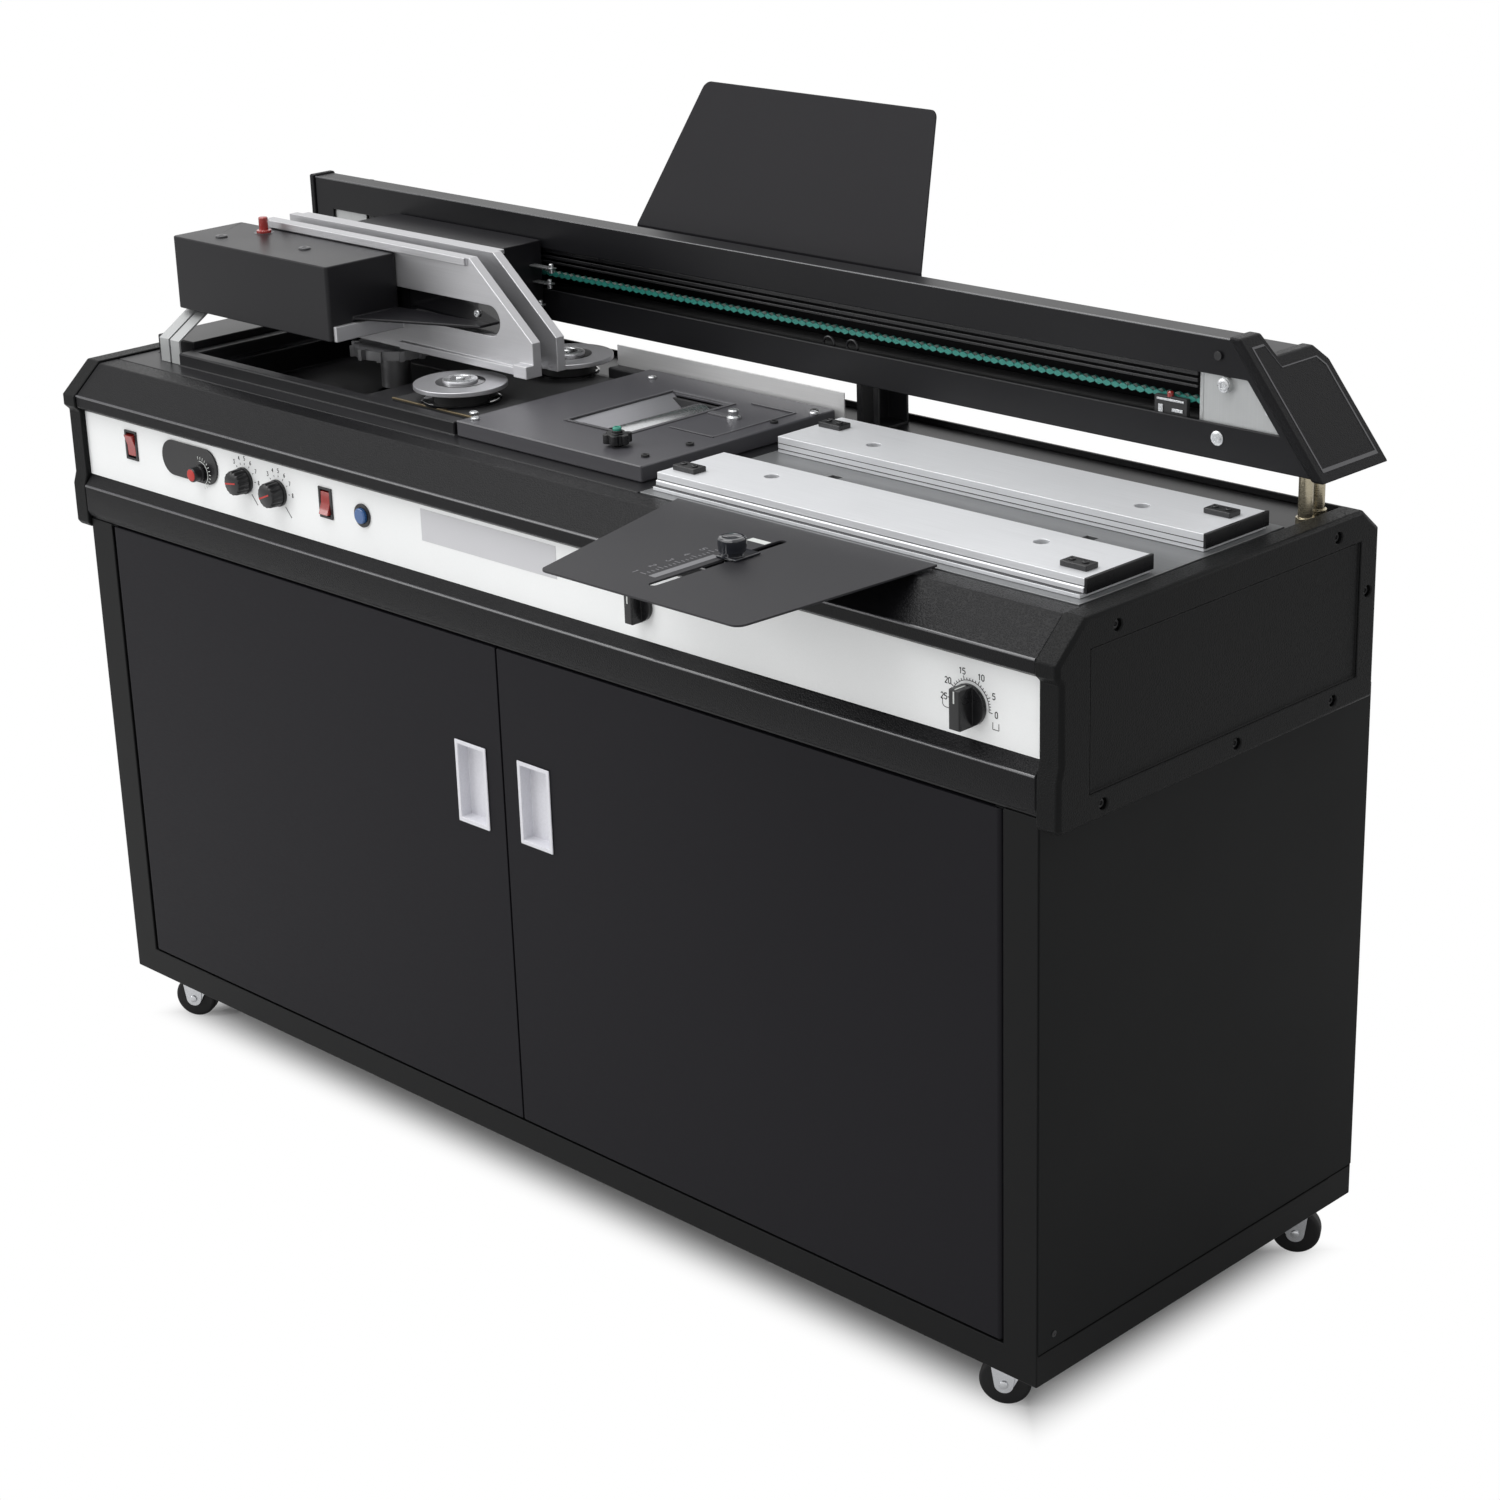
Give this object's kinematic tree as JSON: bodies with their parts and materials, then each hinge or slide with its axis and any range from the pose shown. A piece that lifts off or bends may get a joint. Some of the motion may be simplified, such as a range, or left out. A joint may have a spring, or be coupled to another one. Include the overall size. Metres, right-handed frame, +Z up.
{
  "type": "perfect binding machine",
  "caption": "Floor-standing perfect binding machine on casters: two-door cabinet, glue bed, sliding book clamp on a rail beam, nip bars, knob panel, cover tray and rear tray.",
  "frame": {"origin": "on the floor under the centre of the cabinet's 1340 x 470 mm plan", "axes": "+X to the right along the front, +Y from the front with its control panel to the back, +Z up"},
  "size_m": [1.388, 0.684, 1.042],
  "materials": {
    "black_enamel": "satin powder coat",
    "door_enamel": "fine-textured powder coat",
    "black_moulding": "leather-grained moulding",
    "panel_silver": "pale silver sheet",
    "jaw_aluminium": "satin anodised",
    "pull_frame": "pale grey",
    "knob_black": "satin",
    "rocker_red": "glossy",
    "button_blue": "glossy",
    "zinc": "zinc plated",
    "black_screws": "black oxide",
    "tyre_black": "moulded",
    "chain_steel": "steel",
    "ground_steel": "ground",
    "tank_grey": "satin",
    "motor_grey": "painted",
    "support_metal": "turned"
  },
  "bodies": {
    "root": {"beam_end_caps": "black_moulding", "beam_rail": "black_enamel", "beam_supports": "support_metal", "cabinet_frame": "black_enamel", "cabinet_panels": "door_enamel", "casing_screws": "black_screws", "chassis_pan": "black_enamel", "control_panel": "panel_silver", "cover_tray": "black_enamel", "deck_trim": "black_enamel", "disc_mount": "tank_grey", "drive_chain": "chain_steel", "drive_motors": "motor_grey", "front_mouldings": "black_moulding", "glue_tank": "tank_grey", "guide_shafts": "ground_steel", "left_end_cap": "black_moulding", "mounting_hardware": "zinc", "nip_bed": "jaw_aluminium", "panel_bezels": "black_moulding", "rear_tray": "black_enamel", "right_end_cap": "black_moulding", "splash_plate": "zinc", "sprocket_bracket": "zinc", "tank_cover": "tank_grey"},
    "left_door": {"left_door": "door_enamel", "left_handle": "pull_frame"},
    "right_door": {"right_door": "door_enamel", "right_handle": "pull_frame"},
    "carriage": {"carriage_housing": "black_enamel", "carriage_slider": "motor_grey", "rear_jaw": "jaw_aluminium"},
    "front_jaw": {"front_jaw": "jaw_aluminium", "clamp_cover": "black_enamel"},
    "release_knob": {"release_knob": "rocker_red"},
    "drive_sprocket": {"drive_sprocket": "ground_steel"},
    "idler_sprocket": {"idler_sprocket": "ground_steel"},
    "front_nip_bar": {"front_nip_bar": "jaw_aluminium"},
    "glue_roller": {"glue_roller": "jaw_aluminium"},
    "milling_cutter": {"milling_cutter": "ground_steel"},
    "side_disc_front": {"side_disc_front": "ground_steel"},
    "side_disc_rear": {"side_disc_rear": "ground_steel"},
    "star_knob": {"star_knob": "knob_black"},
    "tray_stop_knob": {"tray_stop_knob": "knob_black"},
    "power_rocker": {"power_rocker": "rocker_red"},
    "mode_rocker": {"mode_rocker": "rocker_red"},
    "start_button": {"start_button": "button_blue"},
    "temperature_knob": {"temperature_knob": "knob_black"},
    "pressure_knob": {"pressure_knob": "knob_black"},
    "time_knob": {"time_knob": "knob_black"},
    "cover_knob": {"cover_knob": "knob_black"},
    "spine_knob": {"spine_knob": "knob_black"},
    "caster_fork_front_left": {"caster_fork_front_left": "zinc"},
    "caster_wheel_front_left": {"caster_wheel_front_left": "tyre_black"},
    "caster_fork_front_right": {"caster_fork_front_right": "zinc"},
    "caster_wheel_front_right": {"caster_wheel_front_right": "tyre_black"},
    "caster_fork_rear_left": {"caster_fork_rear_left": "zinc"},
    "caster_wheel_rear_left": {"caster_wheel_rear_left": "tyre_black"},
    "caster_fork_rear_right": {"caster_fork_rear_right": "zinc"},
    "caster_wheel_rear_right": {"caster_wheel_rear_right": "tyre_black"}
  },
  "joints": [
    {"name": "swivel_front_left", "type": "hinge", "parent": "root", "child": "caster_fork_front_left", "pos_m": [-0.61, -0.185, 0.062], "axis": [0, 0, 1], "continuous": true},
    {"name": "roll_front_left", "type": "hinge", "parent": "caster_fork_front_left", "child": "caster_wheel_front_left", "pos_m": [-0.62126, -0.1915, 0.024], "axis": [-0.5, 0.866, 0], "continuous": true},
    {"name": "swivel_front_right", "type": "hinge", "parent": "root", "child": "caster_fork_front_right", "pos_m": [0.61, -0.185, 0.062], "axis": [0, 0, 1], "continuous": true},
    {"name": "roll_front_right", "type": "hinge", "parent": "caster_fork_front_right", "child": "caster_wheel_front_right", "pos_m": [0.59874, -0.1915, 0.024], "axis": [-0.5, 0.866, 0], "continuous": true},
    {"name": "swivel_rear_left", "type": "hinge", "parent": "root", "child": "caster_fork_rear_left", "pos_m": [-0.622, 0.195, 0.062], "axis": [0, 0, 1], "continuous": true},
    {"name": "roll_rear_left", "type": "hinge", "parent": "caster_fork_rear_left", "child": "caster_wheel_rear_left", "pos_m": [-0.61074, 0.2015, 0.024], "axis": [0.5, -0.866, 0], "continuous": true},
    {"name": "swivel_rear_right", "type": "hinge", "parent": "root", "child": "caster_fork_rear_right", "pos_m": [0.622, 0.195, 0.062], "axis": [0, 0, 1], "continuous": true},
    {"name": "roll_rear_right", "type": "hinge", "parent": "caster_fork_rear_right", "child": "caster_wheel_rear_right", "pos_m": [0.63326, 0.2015, 0.024], "axis": [0.5, -0.866, 0], "continuous": true},
    {"name": "left_door_hinge", "type": "hinge", "parent": "root", "child": "left_door", "pos_m": [-0.625, -0.23, 0.3], "axis": [0, 0, 1], "range_deg": [-105, 0]},
    {"name": "right_door_hinge", "type": "hinge", "parent": "root", "child": "right_door", "pos_m": [0.625, -0.23, 0.3], "axis": [0, 0, 1], "range_deg": [0, 105]},
    {"name": "carriage_travel", "type": "slide", "parent": "root", "child": "carriage", "axis": [1, 0, 0], "range_m": [0, 0.765]},
    {"name": "jaw_clamp", "type": "slide", "parent": "carriage", "child": "front_jaw", "axis": [0, 1, 0], "range_m": [-0.018, 0.019]},
    {"name": "release_turn", "type": "hinge", "parent": "front_jaw", "child": "release_knob", "pos_m": [-0.556, -0.056, 0.895], "axis": [0, 0, 1], "range_deg": [0, 90]},
    {"name": "drive_sprocket_turn", "type": "hinge", "parent": "root", "child": "drive_sprocket", "pos_m": [0.587, 0.128, 0.874], "axis": [0, 1, 0], "range_deg": [-10, 2058.7]},
    {"name": "idler_sprocket_turn", "type": "hinge", "parent": "root", "child": "idler_sprocket", "pos_m": [-0.63, 0.128, 0.874], "axis": [0, 1, 0], "range_deg": [-10, 2058.7]},
    {"name": "nip_press", "type": "slide", "parent": "root", "child": "front_nip_bar", "axis": [0, 1, 0], "range_m": [0, 0.07]},
    {"name": "roller_turn", "type": "hinge", "parent": "root", "child": "glue_roller", "pos_m": [0.004, -0.0135, 0.755], "axis": [0, 1, 0], "continuous": true},
    {"name": "cutter_spin", "type": "hinge", "parent": "root", "child": "milling_cutter", "pos_m": [-0.4, -0.0135, 0.79], "axis": [0, 0, 1], "continuous": true},
    {"name": "front_disc_spin", "type": "hinge", "parent": "root", "child": "side_disc_front", "pos_m": [-0.224, -0.072, 0.782], "axis": [0, 0, 1], "continuous": true},
    {"name": "rear_disc_spin", "type": "hinge", "parent": "root", "child": "side_disc_rear", "pos_m": [-0.224, 0.074, 0.782], "axis": [0, 0, 1], "continuous": true},
    {"name": "star_knob_turn", "type": "hinge", "parent": "root", "child": "star_knob", "pos_m": [0.062, -0.122, 0.78], "axis": [0, 0, 1], "continuous": true},
    {"name": "tray_stop_slide", "type": "slide", "parent": "root", "child": "tray_stop_knob", "axis": [0, 1, 0], "range_m": [-0.088, 0.04]},
    {"name": "power_rock", "type": "hinge", "parent": "root", "child": "power_rocker", "pos_m": [-0.586, -0.225, 0.692], "axis": [1, 0, 0], "range_deg": [-14, 0]},
    {"name": "mode_rock", "type": "hinge", "parent": "root", "child": "mode_rocker", "pos_m": [-0.254, -0.225, 0.69], "axis": [1, 0, 0], "range_deg": [0, 14]},
    {"name": "start_press", "type": "slide", "parent": "root", "child": "start_button", "axis": [0, 1, 0], "range_m": [0, 0.003], "stiffness_N_per_m": 300},
    {"name": "temperature_turn", "type": "hinge", "parent": "root", "child": "temperature_knob", "pos_m": [-0.462, -0.229, 0.684], "axis": [0, 1, 0], "range_deg": [0, 270]},
    {"name": "pressure_turn", "type": "hinge", "parent": "root", "child": "pressure_knob", "pos_m": [-0.388, -0.229, 0.689], "axis": [0, 1, 0], "range_deg": [0, 270]},
    {"name": "time_turn", "type": "hinge", "parent": "root", "child": "time_knob", "pos_m": [-0.332, -0.229, 0.686], "axis": [0, 1, 0], "range_deg": [0, 270]},
    {"name": "cover_turn", "type": "hinge", "parent": "root", "child": "cover_knob", "pos_m": [0.2, -0.229, 0.68], "axis": [0, 1, 0], "range_deg": [0, 90]},
    {"name": "spine_turn", "type": "hinge", "parent": "root", "child": "spine_knob", "pos_m": [0.592, -0.229, 0.676], "axis": [0, 1, 0], "range_deg": [0, 180]}
  ],
  "couplings": [
    {"joint": "drive_sprocket_turn", "follows": "carriage_travel", "rad_per_m": 46.512},
    {"joint": "idler_sprocket_turn", "follows": "carriage_travel", "rad_per_m": 46.512}
  ]
}
